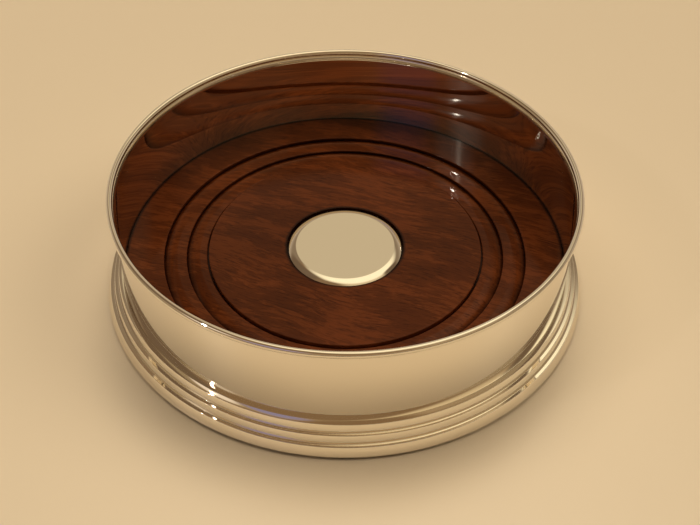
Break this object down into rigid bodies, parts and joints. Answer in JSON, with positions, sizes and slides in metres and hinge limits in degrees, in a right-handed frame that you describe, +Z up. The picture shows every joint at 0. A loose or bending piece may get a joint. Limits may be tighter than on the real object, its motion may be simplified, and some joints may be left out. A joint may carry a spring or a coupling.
{
  "type": "wine bottle coaster",
  "caption": "Round silver bottle coaster with a plain flared gallery, wire rim and stepped foot, on a turned mahogany base with a silver boss and baize underneath",
  "frame": {"origin": "centre of the underside of the baize, on the surface that the coaster stands on", "axes": "+Z is up along the axis of turning; the wood's grain runs along X"},
  "size_m": [0.1306, 0.1306, 0.0335],
  "materials": {
    "silver": "polished sterling silver",
    "mahogany": "lacquered turned mahogany",
    "brass": "plain turned brass",
    "baize": "wool baize"
  },
  "bodies": {
    "root": {"gallery": "silver", "rim_wire": "silver", "skirt_mount": "silver", "wood_base": "mahogany", "boss": "silver", "boss_stud": "brass", "boss_washer": "brass", "boss_nut": "brass", "baize_pad": "baize", "base_pin_1": "brass", "base_pin_2": "brass", "base_pin_3": "brass", "base_pin_4": "brass", "base_pin_5": "brass", "base_pin_6": "brass"}
  },
  "joints": []
}
